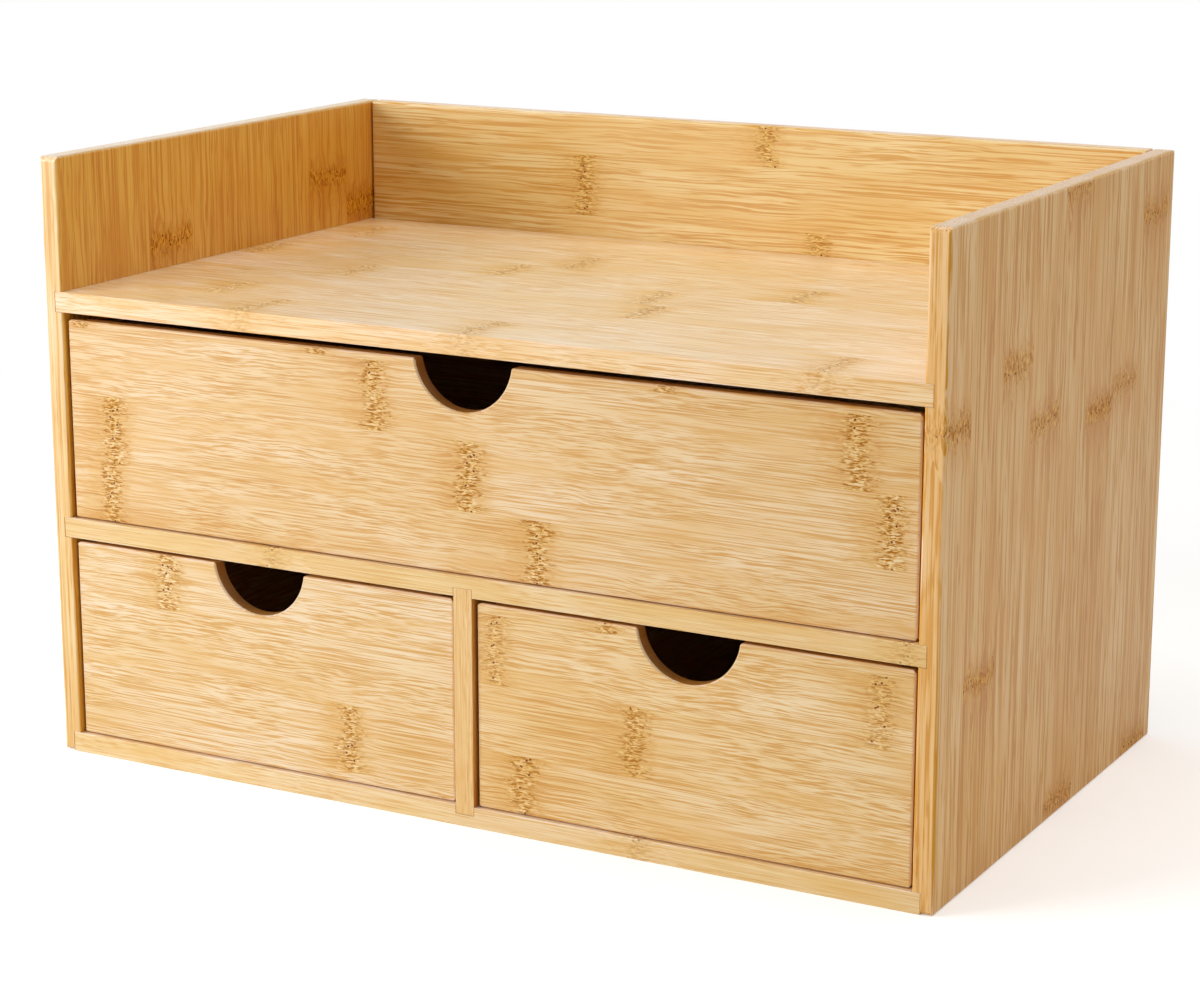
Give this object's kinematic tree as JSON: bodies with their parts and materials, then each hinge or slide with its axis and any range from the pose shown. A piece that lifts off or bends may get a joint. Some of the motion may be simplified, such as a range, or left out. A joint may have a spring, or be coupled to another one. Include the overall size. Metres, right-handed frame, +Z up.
{
  "type": "desktop drawer organizer",
  "caption": "Bamboo desktop drawer box: an open tray with a low gallery over a full-width drawer, and half-width drawers side by side below it, each with a round finger notch.",
  "frame": {"origin": "centre of the base, on the surface that the case stands on", "axes": "+X to the right as seen from the front, +Y from the drawer fronts to the back board, +Z up; the drawers pull out along -Y"},
  "size_m": [0.33, 0.2, 0.21],
  "materials": {
    "bamboo_case": "satin clear lacquer on laminated bamboo",
    "bamboo_fronts": "satin clear lacquer on laminated bamboo",
    "bamboo_drawer_boards": "fine sanded laminated bamboo",
    "bamboo_panels": "fine sanded bamboo ply",
    "steel_brads": "bright drawn wire"
  },
  "bodies": {
    "case": {"left_side": "bamboo_case", "right_side": "bamboo_case", "top_shelf": "bamboo_case", "middle_shelf": "bamboo_case", "base_board": "bamboo_case", "divider": "bamboo_case", "back_board": "bamboo_case", "back_brads": "steel_brads"},
    "upper_drawer": {"upper_drawer_front": "bamboo_fronts", "upper_drawer_left": "bamboo_drawer_boards", "upper_drawer_right": "bamboo_drawer_boards", "upper_drawer_back": "bamboo_drawer_boards", "upper_drawer_bottom": "bamboo_panels", "upper_drawer_brads": "steel_brads"},
    "left_drawer": {"left_drawer_front": "bamboo_fronts", "left_drawer_left": "bamboo_drawer_boards", "left_drawer_right": "bamboo_drawer_boards", "left_drawer_back": "bamboo_drawer_boards", "left_drawer_bottom": "bamboo_panels", "left_drawer_brads": "steel_brads"},
    "right_drawer": {"right_drawer_front": "bamboo_fronts", "right_drawer_left": "bamboo_drawer_boards", "right_drawer_right": "bamboo_drawer_boards", "right_drawer_back": "bamboo_drawer_boards", "right_drawer_bottom": "bamboo_panels", "right_drawer_brads": "steel_brads"}
  },
  "joints": [
    {"name": "upper_drawer_slide", "type": "slide", "parent": "case", "child": "upper_drawer", "axis": [0, -1, 0], "range_m": [0, 0.15]},
    {"name": "left_drawer_slide", "type": "slide", "parent": "case", "child": "left_drawer", "axis": [0, -1, 0], "range_m": [0, 0.15]},
    {"name": "right_drawer_slide", "type": "slide", "parent": "case", "child": "right_drawer", "axis": [0, -1, 0], "range_m": [0, 0.15]}
  ]
}
